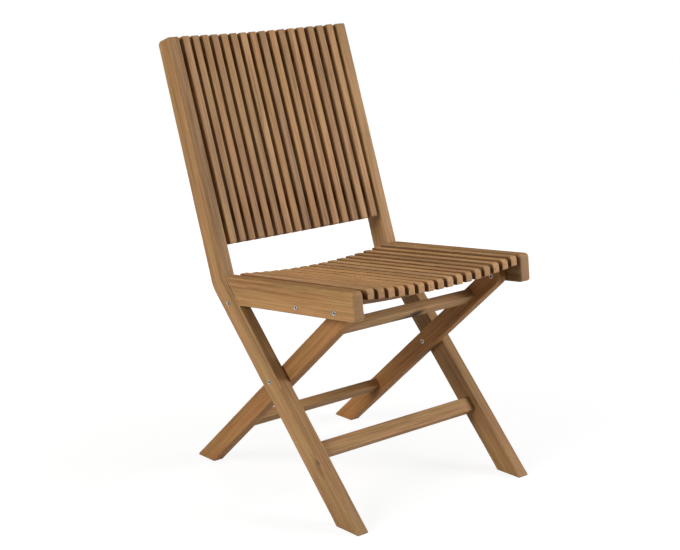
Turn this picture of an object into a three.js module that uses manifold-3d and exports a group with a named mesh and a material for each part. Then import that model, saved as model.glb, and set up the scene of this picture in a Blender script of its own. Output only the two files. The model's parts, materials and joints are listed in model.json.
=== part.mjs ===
// A folding garden chair of teak boards and slats, without arms, standing open.
// The seat hangs on the tops of the rear legs and on two steel links, and folds up against the back.
// Millimetres, +Z up. The chair faces -Y, and left is the left of someone who sits in it, +X.
import * as THREE from "three";
import { mergeVertices } from "three/addons/utils/BufferGeometryUtils.js";
import Module from "manifold-3d";

// Widths, measured across the chair
const overallWidth = 480;
const boardThickness = 27;
const rearLegThickness = 25;
const linkSpace = 3;
const runningGap = 0.3;
const seatingGap = 0.3;

// Long legs: each one runs from the front foot, bends at the seat and goes on as a back stile
const pivotHeight = 245;
const longLegAngle = THREE.MathUtils.degToRad(46.25);
const stileAngle = THREE.MathUtils.degToRad(69.65);
const longLegWidth = 48.5;
const pivotSetback = 1.45;
const bendDistance = 233.7;
const stileLength = 506;
const stileTopWidth = 40.5;
const bendRadius = 60;
const stileFrontRadius = 3;
const stileRearRadius = 9;
const footRadius = 2.5;

// Rear legs, which cross the long legs at the scissor bolts and carry the seat at their tops
const rearLegAngle = THREE.MathUtils.degToRad(137.15);
const rearLegWidth = 39.6;
const rearLegReach = 271;

// Seat rails, in a frame that starts at the seat bolt and slopes down to the rear
const railFrontReach = 57;
const railAbove = 44.1;
const railBelow = 13.4;
const railTopRadius = 9;
const railBottomRadius = 6;
const shoulderTopRadius = 4;
const shoulderBottomRadius = 3;

// Steel links that lock the seat open and lead it while the chair folds. They stand over their dead
// point by the angle between the seat's slope and the line from the seat bolt to the link bolt
const overCentreAngle = THREE.MathUtils.degToRad(1.85);
const linkBoltDistance = 189;
const linkStudDistance = 114.4;
const linkWidth = 13;
const linkBossRadius = 6;
const linkBossHeight = 3.4;

// Slats of the seat and of the back
const slatWidth = 16.5;
const slatGap = 9.5;
const seatSlatHeight = 20.4;
const seatSlatRearReach = 335;
const seatSlatNoseRadius = 8;
const seatDish = 12;
const backSlatDepth = 20;
const backSlatStart = 67;
const backDish = 11;
const slatEndRadius = 2.5;

// Curved battens that carry the slats in shallow housings
const housingDepth = 4;
const battenDishLoss = 2;
const seatBattenWidth = 22;
const frontBattenThickness = 28;
const frontBattenClearance = 2;
const rearBattenThickness = 15;
const rearBattenReach = 246;
const backBattenWidth = 35;
const backBattenThickness = 19;
const lowerBackBattenRise = 110;
const upperBackBattenRise = 430;

// Straight cross rails and their tenons
const crossRailWidth = 32;
const crossRailThickness = 20;
const frontRailDrop = 168.5;
const upperRailDrop = 84;
const lowerRailDrop = 206;
const rearRailOffset = 3.2;
const crossRailRadius = 3;
const tenonLength = 14;
const tenonShoulder = 5;

// Bolts: a plain shank between two ring heads, each with a driving socket
const shankRadius = 3;
const headRadius = 5;
const headHeight = 1.2;
const headEase = 0.4;
const socketRadius = 2.6;
const socketDepth = 3;
const washerRadius = 9;

// Eased edges and the finish of the curves
const boardEase = 2;
const slatEase = 1.5;
const cutOverrun = 1;
const cornerSteps = 3;
const archSteps = 8;
const roundSegments = 16;

// Places that follow from those sizes
const outerFace = overallWidth / 2;
const innerFace = outerFace - boardThickness;
const rearLegOuterFace = innerFace - linkSpace;
const rearLegInnerFace = rearLegOuterFace - rearLegThickness;
const sides = { left: 1, right: -1 };

// The slats share out the width between the long legs, with equal gaps as near to slatGap as they can be
const slatCount = Math.round((2 * innerFace - slatGap) / (slatWidth + slatGap));
const slatPitch = (2 * innerFace + slatWidth) / (slatCount + 1);

// The outer seat slats lie flush with the tops of the rails
const seatSlatLift = railAbove - seatSlatHeight;

const kernel = await Module();
kernel.setup();

// Points and directions of the side view, where x runs to the rear and y runs up
const direction = (angle) => new THREE.Vector2(Math.cos(angle), Math.sin(angle));
const toTheLeft = (vector) => new THREE.Vector2(-vector.y, vector.x);

// The point that lies a distance along a direction from a start, and an offset to its left
function placed(start, angle, distance, offset = 0) {
  const along = direction(angle);
  return start.clone().addScaledVector(along, distance).addScaledVector(toTheLeft(along), offset);
}

// Where the line through one point meets the line through another
function crossing(first, firstAngle, second, secondAngle) {
  const along = direction(firstAngle);
  const normal = toTheLeft(direction(secondAngle));
  const distance = second.clone().sub(first).dot(normal) / along.dot(normal);
  return first.clone().addScaledVector(along, distance);
}

const floorUnder = (point, angle) => crossing(point, angle, new THREE.Vector2(), 0);
const angleBetween = (from, to) => Math.atan2(to.y - from.y, to.x - from.x);

// Points of an arc about a centre, both ends included
function arc(centre, radius, from, to, steps) {
  return Array.from({ length: steps + 1 }, (_, step) =>
    placed(centre, from + (to - from) * (step / steps), radius));
}

// An outline whose corners are [point, radius] pairs, each rounded by an arc if it has a radius
function rounded(corners) {
  return corners.flatMap(([corner, radius], index) => {
    if (!radius) return [corner];
    const before = corners.at(index - 1)[0];
    const after = corners[(index + 1) % corners.length][0];
    const toBefore = before.clone().sub(corner).normalize();
    const toAfter = after.clone().sub(corner).normalize();
    const half = Math.acos(toBefore.dot(toAfter)) / 2;
    const centre = corner.clone();
    centre.addScaledVector(toBefore.clone().add(toAfter).normalize(), radius / Math.sin(half));
    const middle = angleBetween(centre, corner);
    const sweep = Math.PI / 2 - half;
    return arc(centre, radius, middle - sweep, middle + sweep, cornerSteps);
  });
}

// A board cut to an outline, centred on its thickness, with its long edges eased
function board(outline, thickness, ease) {
  const geometry = new THREE.ExtrudeGeometry(new THREE.Shape(outline), {
    depth: thickness - 2 * ease,
    bevelEnabled: ease > 0,
    bevelThickness: ease,
    bevelSize: ease,
    bevelOffset: -ease,
    bevelSegments: 1,
  });
  return geometry.translate(0, 0, ease - thickness / 2);
}

function toSolid(geometry) {
  const bare = geometry.clone();
  bare.deleteAttribute("normal");
  bare.deleteAttribute("uv");
  const merged = mergeVertices(bare);
  const vertProperties = new Float32Array(merged.attributes.position.array);
  const triVerts = new Uint32Array(merged.index.array);
  return new kernel.Manifold(new kernel.Mesh({ numProp: 3, vertProperties, triVerts }));
}

function toGeometry(solid) {
  const mesh = solid.getMesh();
  const geometry = new THREE.BufferGeometry();
  geometry.setAttribute("position", new THREE.BufferAttribute(mesh.vertProperties, 3));
  geometry.setIndex(new THREE.BufferAttribute(mesh.triVerts, 1));
  return geometry.toNonIndexed();
}

// Takes the cutters out of a blank, and joins the additions to it
function worked(blank, cutters, additions = []) {
  let solid = toSolid(blank);
  for (const addition of additions) solid = solid.add(toSolid(addition));
  for (const cutter of cutters) solid = solid.subtract(toSolid(cutter));
  return toGeometry(solid);
}

// A cutter for the hole that a bolt passes through, across a board at a point
function boltHole(point, thickness) {
  const length = thickness + 2 * cutOverrun;
  const hole = new THREE.CylinderGeometry(
    shankRadius + runningGap, shankRadius + runningGap, length, roundSegments);
  return hole.rotateX(Math.PI / 2).translate(point.x, point.y, 0);
}

// A cutter for the mortise that takes a tenon, in the inner face of the board on one side
function mortise({ point, angle, width, height }, thickness, side) {
  const depth = tenonLength + seatingGap;
  const pocket = new THREE.BoxGeometry(
    width + 2 * seatingGap, height + 2 * seatingGap, depth + cutOverrun);
  pocket.rotateZ(angle);
  return pocket.translate(point.x, point.y, side * ((depth - cutOverrun) / 2 - thickness / 2));
}

const finishes = {
  teak: { color: 0xa8794a, roughness: 0.62, metalness: 0 },
  steel: { color: 0xb9b7b0, roughness: 0.34, metalness: 1 },
};

// Adds a named piece to its frame. Teak pieces differ a little in tone, as boards do
function add(frame, name, geometry, finish, tone = 0) {
  geometry.computeVertexNormals();
  const material = new THREE.MeshStandardMaterial(finishes[finish]);
  material.color.offsetHSL(0, 0, tone);
  const piece = new THREE.Mesh(geometry, material);
  piece.name = name;
  frame.add(piece);
  return piece;
}

const toneSpread = 0.035;
const toneOf = (index) => toneSpread * Math.sin(index * index + index);

// The side view is turned so that its x is the chair's depth, its y the height and its z the width
const chair = new THREE.Group();
const sideView = new THREE.Group();
sideView.quaternion.setFromAxisAngle(new THREE.Vector3(1, 1, 1).normalize(), 2 * Math.PI / 3);
chair.add(sideView);

// Pivots, with the scissor bolt above the start of the side view
const scissorBolt = new THREE.Vector2(0, pivotHeight);
const linkBolt = placed(scissorBolt, longLegAngle, linkBoltDistance);
const seatBolt = placed(scissorBolt, rearLegAngle, rearLegReach);
const seatSlope = angleBetween(seatBolt, linkBolt) + overCentreAngle;
const linkStud = placed(seatBolt, seatSlope, linkStudDistance);

const rearFrame = new THREE.Group();
rearFrame.position.set(scissorBolt.x, scissorBolt.y, 0);
rearFrame.rotation.z = rearLegAngle;
sideView.add(rearFrame);

const seat = new THREE.Group();
seat.position.set(seatBolt.x, seatBolt.y, 0);
seat.rotation.z = seatSlope;
sideView.add(seat);

// A point of the side view in the seat's own frame
const inSeat = (point) => point.clone().sub(seatBolt).rotateAround(new THREE.Vector2(), -seatSlope);

// The front line of the long leg, and the corner where it bends
const frontOffset = longLegWidth / 2 + pivotSetback;
const bendFront = placed(scissorBolt, longLegAngle, bendDistance, frontOffset);

const back = new THREE.Group();
back.position.set(bendFront.x, bendFront.y, 0);
back.rotation.z = stileAngle;
sideView.add(back);

// The stile's frame starts at the bend, runs up the stile's front edge, and its y points forwards
const inSideView = (point) => point.clone().rotateAround(new THREE.Vector2(), stileAngle).add(bendFront);

// How far a row of slats is hollowed at a place across the chair: a parabola that ends at the outer slats
const outerSlat = slatPitch * (slatCount - 1) / 2;
const hollow = (dish, across) => dish * (1 - (across / outerSlat) ** 2);
const slatPlaces = Array.from({ length: slatCount }, (_, index) => slatPitch * index - outerSlat);

// Each tenon is centred on its rail's or batten's end
function tenonOf(width, thickness) {
  return { width: width - 2 * tenonShoulder, height: thickness - 2 * tenonShoulder };
}
const railTenon = tenonOf(crossRailWidth, crossRailThickness);
const backTenon = tenonOf(backBattenWidth, backBattenThickness);
const backBattenMiddle = housingDepth - backSlatDepth - backBattenThickness / 2;

// Seat battens. The front one lies just behind the rear legs, clear of their upper edges at rest
const legDrop = seatSlope + Math.PI - rearLegAngle;
const frontBattenUnderside =
  seatSlatLift + housingDepth - frontBattenThickness - hollow(seatDish - battenDishLoss, rearLegInnerFace);
const frontBattenReach =
  (rearLegWidth / 2 + frontBattenClearance - frontBattenUnderside * Math.cos(legDrop)) / Math.sin(legDrop);
const seatBattens = {
  front_seat_batten: { reach: frontBattenReach, thickness: frontBattenThickness },
  rear_seat_batten: { reach: rearBattenReach, thickness: rearBattenThickness },
};

// Long legs
function longLegOutline() {
  const rearOffset = frontOffset - longLegWidth;
  const halfTurn = (stileAngle - longLegAngle) / 2;
  const bendRear = placed(bendFront, longLegAngle + halfTurn, 0, -longLegWidth / Math.cos(halfTurn));
  const start = placed(scissorBolt, longLegAngle, 0, frontOffset);
  return rounded([
    [floorUnder(placed(scissorBolt, longLegAngle, 0, rearOffset), longLegAngle), footRadius],
    [bendRear, bendRadius],
    [inSideView(new THREE.Vector2(stileLength, -stileTopWidth)), stileRearRadius],
    [inSideView(new THREE.Vector2(stileLength, 0)), stileFrontRadius],
    [bendFront, 0],
    [floorUnder(start, longLegAngle), footRadius],
  ]);
}

const frontRailPlace = placed(scissorBolt, longLegAngle, -frontRailDrop, pivotSetback);

function addLongLeg(name, side) {
  const backMortise = (rise) => ({
    point: inSideView(new THREE.Vector2(rise + backBattenWidth / 2, backBattenMiddle)),
    angle: stileAngle,
    ...backTenon,
  });
  const mortises = [
    { point: frontRailPlace, angle: longLegAngle, ...railTenon },
    backMortise(lowerBackBattenRise),
    backMortise(upperBackBattenRise),
  ];
  const leg = worked(board(longLegOutline(), boardThickness, boardEase), [
    boltHole(scissorBolt, boardThickness),
    boltHole(linkBolt, boardThickness),
    ...mortises.map((place) => mortise(place, boardThickness, side)),
  ]);
  add(sideView, name, leg, "teak", toneOf(side)).position.z = side * (innerFace + boardThickness / 2);
}

// A straight cross rail with a tenon at each end, which lies between two inner faces
function addCrossRail(frame, name, face, point, angle, tone) {
  const { width, height } = railTenon;
  const section = (long, tall) => [
    new THREE.Vector2(-long / 2, -tall / 2), new THREE.Vector2(long / 2, -tall / 2),
    new THREE.Vector2(long / 2, tall / 2), new THREE.Vector2(-long / 2, tall / 2),
  ];
  const corners = section(crossRailWidth, crossRailThickness).map((corner) => [corner, crossRailRadius]);
  const body = board(rounded(corners), 2 * (face - seatingGap), 0);
  const tenons = board(section(width, height), 2 * (face + tenonLength), 0);
  const rail = add(frame, name, worked(body, [], [tenons]), "teak", tone);
  rail.position.set(point.x, point.y, 0);
  rail.rotation.z = angle;
}

// Rear legs, in a frame that starts at the scissor bolt and runs up the leg
function rearLegOutline() {
  const half = rearLegWidth / 2;
  const foot = (offset) => {
    const point = floorUnder(placed(scissorBolt, rearLegAngle, 0, offset), rearLegAngle);
    return point.sub(scissorBolt).rotateAround(new THREE.Vector2(), -rearLegAngle);
  };
  const top = new THREE.Vector2(rearLegReach, 0);
  const corners = rounded([
    [foot(half), footRadius],
    [foot(-half), footRadius],
    [new THREE.Vector2(rearLegReach, -half), 0],
    [new THREE.Vector2(rearLegReach, half), 0],
  ]);
  const crown = arc(top, half, -Math.PI / 2, Math.PI / 2, archSteps);
  return [...corners.slice(0, -2), ...crown];
}

const rearRailPlaces = {
  upper_cross_rail: new THREE.Vector2(rearLegReach - upperRailDrop, -rearRailOffset),
  lower_cross_rail: new THREE.Vector2(-lowerRailDrop, -rearRailOffset),
};

function addRearLeg(name, side) {
  const mortises = Object.values(rearRailPlaces).map((point) => ({ point, angle: 0, ...railTenon }));
  const leg = worked(board(rearLegOutline(), rearLegThickness, boardEase), [
    boltHole(new THREE.Vector2(), rearLegThickness),
    boltHole(new THREE.Vector2(rearLegReach, 0), rearLegThickness),
    ...mortises.map((place) => mortise(place, rearLegThickness, side)),
  ]);
  add(rearFrame, name, leg, "teak", toneOf(side)).position.z = side * (rearLegInnerFace + rearLegThickness / 2);
}

// Seat rails, whose sloped rear shoulders rest on the front edges of the long legs
function seatRailOutline() {
  const shoulder = inSeat(placed(scissorBolt, longLegAngle, 0, frontOffset + seatingGap));
  const shoulderAngle = longLegAngle - seatSlope;
  const frontTop = new THREE.Vector2(-railFrontReach, railAbove);
  const frontBottom = new THREE.Vector2(-railFrontReach, -railBelow);
  return rounded([
    [frontBottom, railBottomRadius],
    [crossing(frontBottom, 0, shoulder, shoulderAngle), shoulderBottomRadius],
    [crossing(frontTop, 0, shoulder, shoulderAngle), shoulderTopRadius],
    [frontTop, railTopRadius],
  ]);
}

function addSeatRail(name, side) {
  const mortises = Object.values(seatBattens).map(({ reach, thickness }) => ({
    point: new THREE.Vector2(
      reach + seatBattenWidth / 2, seatSlatLift + housingDepth - thickness / 2,
    ),
    angle: 0,
    ...tenonOf(seatBattenWidth, thickness),
  }));
  const rail = worked(board(seatRailOutline(), boardThickness, boardEase), [
    boltHole(new THREE.Vector2(), boardThickness),
    boltHole(new THREE.Vector2(linkStudDistance, 0), boardThickness),
    ...mortises.map((place) => mortise(place, boardThickness, side)),
  ]);
  add(seat, name, rail, "teak", toneOf(side)).position.z = side * (innerFace + boardThickness / 2);
}

// A curved batten across the chair, with a shallow housing for each slat in its hollow face
function addBatten(frame, name, { reach, width, thickness, face, dish, tone }) {
  const end = innerFace - seatingGap;
  const land = (across) => face + housingDepth - hollow(dish, across);
  const underside = (across) =>
    face + housingDepth - thickness - hollow(dish - battenDishLoss, across);
  const housings = slatPlaces.toReversed().flatMap((across) => {
    const half = slatWidth / 2 + seatingGap;
    const floor = face - hollow(dish, across) - seatingGap;
    return [
      new THREE.Vector2(across + half, land(across + half)), new THREE.Vector2(across + half, floor),
      new THREE.Vector2(across - half, floor), new THREE.Vector2(across - half, land(across - half)),
    ];
  });
  const undersides = Array.from({ length: slatCount + 1 }, (_, step) => {
    const across = end * (2 * step / slatCount - 1);
    return new THREE.Vector2(across, underside(across));
  });
  const outline = [
    ...undersides,
    new THREE.Vector2(end, land(end)),
    ...housings,
    new THREE.Vector2(-end, land(end)),
  ];
  const length = 2 * (innerFace + tenonLength);
  const tenon = tenonOf(width, thickness);
  const tenons = [-1, 1].map((side) => {
    const overlap = tenonLength + seatingGap + cutOverrun;
    const stub = new THREE.BoxGeometry(overlap, tenon.height, tenon.width);
    return stub.translate(side * (length - overlap) / 2, face + housingDepth - thickness / 2, 0);
  });
  const batten = add(frame, name, worked(board(outline, width, 0), [], tenons), "teak", tone);
  batten.rotation.y = Math.PI / 2;
  batten.position.x = reach + width / 2;
}

function addSlats(frame, name, outline, dish) {
  slatPlaces.toReversed().forEach((across, index) => {
    const number = String(index + 1).padStart(2, "0");
    const slat = add(frame, `${name}_${number}`, board(outline, slatWidth, slatEase), "teak", toneOf(index));
    slat.position.set(0, -hollow(dish, across), across);
  });
}

const seatSlatOutline = rounded([
  [new THREE.Vector2(-railFrontReach, seatSlatLift), slatEndRadius],
  [new THREE.Vector2(seatSlatRearReach, seatSlatLift), slatEndRadius],
  [new THREE.Vector2(seatSlatRearReach, seatSlatLift + seatSlatHeight), slatEndRadius],
  [new THREE.Vector2(-railFrontReach, seatSlatLift + seatSlatHeight), seatSlatNoseRadius],
]);

const backSlatOutline = rounded([
  [new THREE.Vector2(backSlatStart, -backSlatDepth), slatEndRadius],
  [new THREE.Vector2(stileLength, -backSlatDepth), slatEndRadius],
  [new THREE.Vector2(stileLength, 0), slatEndRadius],
  [new THREE.Vector2(backSlatStart, 0), slatEndRadius],
]);

// Half of a bolt's profile at one end: its head, with the socket, seen outwards from the board's face
function headProfile(face, outwards) {
  const under = face + outwards * seatingGap;
  const top = under + outwards * headHeight;
  return [
    new THREE.Vector2(0, top - outwards * socketDepth),
    new THREE.Vector2(socketRadius, top - outwards * socketDepth),
    new THREE.Vector2(socketRadius, top),
    new THREE.Vector2(headRadius - headEase, top),
    new THREE.Vector2(headRadius, top - outwards * headEase),
    new THREE.Vector2(headRadius, under),
    new THREE.Vector2(shankRadius, under),
  ];
}

// Turned pieces lie across the chair, with their profiles measured out from its middle
function addTurned(frame, name, profile, point, side) {
  const turned = add(frame, name, new THREE.LatheGeometry(profile, roundSegments), "steel");
  turned.position.set(point.x, point.y, 0);
  turned.rotation.x = side * Math.PI / 2;
}

function addBolt(frame, name, innerEnd, point, side) {
  const profile = [...headProfile(innerEnd, -1), ...headProfile(outerFace, 1).reverse()];
  addTurned(frame, name, profile, point, side);
}

// The bolt at the open end of the link stops inside the leg, one gap short of the link
function addShortBolt(frame, name, point, side) {
  const tip = [new THREE.Vector2(0, innerFace), new THREE.Vector2(shankRadius, innerFace)];
  addTurned(frame, name, [...tip, ...headProfile(outerFace, 1).reverse()], point, side);
}

function addWasher(frame, name, point, side) {
  const bore = shankRadius + runningGap;
  const inner = rearLegOuterFace + runningGap;
  const outer = innerFace - runningGap;
  const profile = [
    new THREE.Vector2(bore, inner), new THREE.Vector2(washerRadius, inner),
    new THREE.Vector2(washerRadius, outer), new THREE.Vector2(bore, outer),
    new THREE.Vector2(bore, inner),
  ];
  addTurned(frame, name, profile, point, side);
}

// A link is a flat steel strap from the stud in the seat rail to the bolt in the long leg, where a
// riveted boss ends it. It starts at its stud
const linkLength = linkStud.distanceTo(linkBolt);
const linkThickness = linkSpace - 2 * runningGap;

function addLink(frame, name, side) {
  const half = linkWidth / 2;
  const far = new THREE.Vector2(linkLength, 0);
  const outline = [
    ...arc(far, half, -Math.PI / 2, Math.PI / 2, archSteps),
    ...arc(new THREE.Vector2(), half, Math.PI / 2, 3 * Math.PI / 2, archSteps),
  ];
  const boss = new THREE.CylinderGeometry(
    linkBossRadius - headEase, linkBossRadius, linkBossHeight + linkThickness / 2, roundSegments);
  boss.translate(0, (linkBossHeight + linkThickness / 2) / 2, 0);
  boss.rotateX(-side * Math.PI / 2).translate(far.x, far.y, 0);
  const strap = worked(
    board(outline, linkThickness, 0), [boltHole(new THREE.Vector2(), linkThickness)], [boss]);
  const link = add(frame, name, strap, "steel");
  link.position.set(linkStudDistance, 0, side * (rearLegOuterFace + linkSpace / 2));
  link.rotation.z = angleBetween(linkStud, linkBolt) - seatSlope;
}

for (const [name, side] of Object.entries(sides)) {
  addLongLeg(`${name}_long_leg`, side);
  addRearLeg(`${name}_rear_leg`, side);
  addSeatRail(`${name}_seat_rail`, side);
  addBolt(sideView, `${name}_scissor_bolt`, rearLegInnerFace, scissorBolt, side);
  addWasher(sideView, `${name}_scissor_washer`, scissorBolt, side);
  addShortBolt(sideView, `${name}_link_bolt`, linkBolt, side);
  addBolt(seat, `${name}_seat_bolt`, rearLegInnerFace, new THREE.Vector2(), side);
  addWasher(seat, `${name}_seat_washer`, new THREE.Vector2(), side);
  addBolt(seat, `${name}_link_stud`, rearLegOuterFace, new THREE.Vector2(linkStudDistance, 0), side);
  addLink(seat, `${name}_link`, side);
}

addCrossRail(sideView, "front_cross_rail", innerFace, frontRailPlace, longLegAngle, toneOf(2));
for (const [name, point] of Object.entries(rearRailPlaces)) {
  addCrossRail(rearFrame, name, rearLegInnerFace, point, 0, toneOf(3));
}

for (const [name, place] of Object.entries(seatBattens)) {
  addBatten(seat, name, {
    width: seatBattenWidth, face: seatSlatLift, dish: seatDish, tone: -toneSpread, ...place,
  });
}
addSlats(seat, "seat_slat", seatSlatOutline, seatDish);

const backBatten = {
  width: backBattenWidth, thickness: backBattenThickness, face: -backSlatDepth, dish: backDish,
  tone: -toneSpread,
};
addBatten(back, "lower_back_batten", { reach: lowerBackBattenRise, ...backBatten });
addBatten(back, "upper_back_batten", { reach: upperBackBattenRise, ...backBatten });
addSlats(back, "back_slat", backSlatOutline, backDish);

// The chair stands on the floor, with the middle of its box over the origin
chair.updateMatrixWorld(true);
const box = new THREE.Box3().setFromObject(chair, true);
const middle = box.getCenter(new THREE.Vector3());
chair.position.set(-middle.x, -middle.y, -box.min.z);

export default chair;
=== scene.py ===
import json
import math
import bpy
import numpy as np
from mathutils import Matrix, Vector
from mathutils.geometry import delaunay_2d_cdt


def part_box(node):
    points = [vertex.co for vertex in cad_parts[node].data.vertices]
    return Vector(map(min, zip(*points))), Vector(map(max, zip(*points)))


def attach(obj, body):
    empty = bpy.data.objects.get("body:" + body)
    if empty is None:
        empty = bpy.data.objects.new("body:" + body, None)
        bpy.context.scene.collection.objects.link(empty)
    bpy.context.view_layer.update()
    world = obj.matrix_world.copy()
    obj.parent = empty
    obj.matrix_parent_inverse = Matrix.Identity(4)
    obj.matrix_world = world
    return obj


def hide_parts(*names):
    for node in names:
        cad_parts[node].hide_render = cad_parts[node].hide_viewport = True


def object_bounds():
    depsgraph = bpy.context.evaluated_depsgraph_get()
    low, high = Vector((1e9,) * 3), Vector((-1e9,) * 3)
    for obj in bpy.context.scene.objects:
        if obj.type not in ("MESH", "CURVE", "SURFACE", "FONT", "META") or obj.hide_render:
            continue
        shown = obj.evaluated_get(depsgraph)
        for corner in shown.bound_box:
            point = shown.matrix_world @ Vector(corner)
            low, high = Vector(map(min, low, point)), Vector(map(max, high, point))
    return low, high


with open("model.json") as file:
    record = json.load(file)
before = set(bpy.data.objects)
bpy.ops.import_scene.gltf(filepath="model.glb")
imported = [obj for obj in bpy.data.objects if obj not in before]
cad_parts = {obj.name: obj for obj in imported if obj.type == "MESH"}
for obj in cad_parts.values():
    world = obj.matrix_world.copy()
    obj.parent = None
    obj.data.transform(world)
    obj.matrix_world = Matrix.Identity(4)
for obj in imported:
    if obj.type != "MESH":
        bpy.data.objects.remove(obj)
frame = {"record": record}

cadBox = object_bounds()
cadBox = [list(corner) for corner in cadBox]
bodyOf = {node: body for body, nodes in frame["record"]["behaviour"]["bodies"].items() for node in nodes}
sides = {"left": 1, "right": -1}
print("frame loaded:", len(bodyOf), "nodes")

# A folding garden chair of teak, standing open. Lengths are millimetres here and become metres in putMesh.
# A point of the side view is a complex number: its real part runs to the rear from the scissor bolts, its
# imaginary part up from the floor. A turn is a complex number of length 1
mm = 0.001
washerLow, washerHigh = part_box("left_scissor_washer")
boltDepth = (washerLow.y + washerHigh.y) / 2 / mm

# The chair's lines in the side view, and its faces across
chair = {
    "boltHeight": 245.0, "legDeg": 46.25, "stileDeg": 69.65, "rearLegDeg": 137.15, "overCentreDeg": 1.85,
    "outerFace": 240.0, "innerFace": 213.0, "rearLegOuterFace": 210.0, "rearLegInnerFace": 185.0, "gap": 0.3,
    "legWidth": 48.5, "legSetback": 1.45, "bendDistance": 233.7, "rearLegWidth": 39.6,
    "rearLegReach": 271.0, "linkBoltDistance": 189.0, "linkStudDistance": 114.4,
}
# What several pieces share: bolt holes, and tenons that are rooted in their bars
jointValues = {"holeRadius": 3.3, "tenonLength": 14.0, "tenonRoot": 1.0, "shoulderGap": 0.1}
railTenon = (22.0, 10.0)


def toward(degrees):
    return np.exp(1j * np.radians(degrees))


scissorBolt = 1j * chair["boltHeight"]
legTurn, stileTurn, rearLegTurn = (toward(chair[key]) for key in ("legDeg", "stileDeg", "rearLegDeg"))
linkBolt = scissorBolt + chair["linkBoltDistance"] * legTurn
seatBolt = scissorBolt + chair["rearLegReach"] * rearLegTurn
seatTurn = (linkBolt - seatBolt) / abs(linkBolt - seatBolt) * toward(chair["overCentreDeg"])
linkStud = seatBolt + chair["linkStudDistance"] * seatTurn
frontOffset = chair["legWidth"] / 2 + chair["legSetback"]
bendFront = scissorBolt + (chair["bendDistance"] + 1j * frontOffset) * legTurn


def meeting(first, firstTurn, second, secondTurn):
    # where the line through one point meets the line through another
    normal = 1j * secondTurn
    distance = ((second - first) * normal.conjugate()).real / (firstTurn * normal.conjugate()).real
    return first + firstTurn * distance


def onFloor(point, turn):
    return meeting(point, turn, 0j, 1 + 0j)


def inSideView(plane, height):
    return np.stack([height, plane.real + boltDepth, plane.imag], 1)


def facesOf(sign, inner, outer):
    return sorted((sign * inner, sign * outer))


# Outlines and the numbers of their points
loopValues = {"spacing": 14.0, "arcSteps": 7, "circleSteps": 28,
              "leastMitre": 0.5, "tiny": 1e-6, "merge": 1e-5}


def loopOf(corners, spacing=loopValues["spacing"], arcSteps=loopValues["arcSteps"]):
    # A closed outline: each corner (point, radius) becomes an arc that touches both of its sides, and a
    # straight gets a point every spacing
    points = np.array([corner[0] for corner in corners], complex)
    radii = np.array([corner[1] for corner in corners], float)
    if ((points.conjugate() * np.roll(points, -1)).imag).sum() < 0:
        points, radii = points[::-1], radii[::-1]
    before, after = np.roll(points, 1) - points, np.roll(points, -1) - points
    before, after = before / abs(before), after / abs(after)
    half = np.angle(before / after) % (2 * np.pi) / 2
    bisector = after * np.exp(1j * half)
    pieces = []
    for point, radius, turn, middle in zip(points, radii, half, bisector):
        if not radius:
            pieces.append(np.array([point]))
            continue
        reflex = turn > np.pi / 2
        inner = np.pi - turn if reflex else turn
        centre = point + (-middle if reflex else middle) * radius / np.sin(inner)
        sweep = (np.pi / 2 - inner) * (-1 if reflex else 1)
        angles = np.angle(point - centre) + np.linspace(-sweep, sweep, arcSteps + 1)
        pieces.append(centre + radius * np.exp(1j * angles))
    out = []
    for piece, following in zip(pieces, pieces[1:] + pieces[:1]):
        steps = max(int(abs(following[0] - piece[-1]) / spacing), 1)
        out += [piece, piece[-1] + (following[0] - piece[-1]) * (np.arange(1, steps) / steps)]
    return np.concatenate(out)


def outwards(loop):
    # the mitred outward normal of each point of a loop that runs anticlockwise
    ahead = np.roll(loop, -1) - loop
    ahead = ahead / abs(ahead)
    behind = np.roll(ahead, 1)
    normal = -1j * (ahead + behind) / abs(ahead + behind)
    return normal / np.maximum((normal * (-1j * ahead).conjugate()).real, loopValues["leastMitre"])


def insetLimit(loop):
    # how far each point can move inwards before one of the edges beside it would turn round
    ahead = np.roll(loop, -1) - loop
    tangent = np.tan(np.angle(ahead / np.roll(ahead, 1)) / 2)
    edgeLimit = abs(ahead) / np.maximum(tangent + np.roll(tangent, -1), loopValues["tiny"])
    return np.min([np.roll(edgeLimit, step) for step in (-1, 0, 1, 2)], axis=0)


def isInside(points, loop):
    # even-odd test of all points against all edges at once
    start, end = loop[None], np.roll(loop, -1)[None]
    level = points.imag[:, None]
    spans = (start.imag > level) != (end.imag > level)
    rise = np.where(spans, end.imag - start.imag, 1)
    reach = start.real + (level - start.imag) * (end.real - start.real) / rise
    return (spans & (points.real[:, None] < reach)).sum(1) % 2 == 1


def circle(centre, radius):
    count = loopValues["circleSteps"]
    return centre + radius * np.exp(2j * np.pi * np.arange(count) / count)


def rectangle(centre, turn, width, height):
    return centre + turn * np.array([-width - 1j * height, width - 1j * height,
                                     width + 1j * height, -width + 1j * height]) / 2


def wallsOf(ids):
    # quads between the rows of a grid of point numbers, closed round each row
    around = np.roll(ids, -1, 1)
    return np.stack([ids[:-1], around[:-1], around[1:], ids[1:]], -1).reshape(-1, 4)


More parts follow.
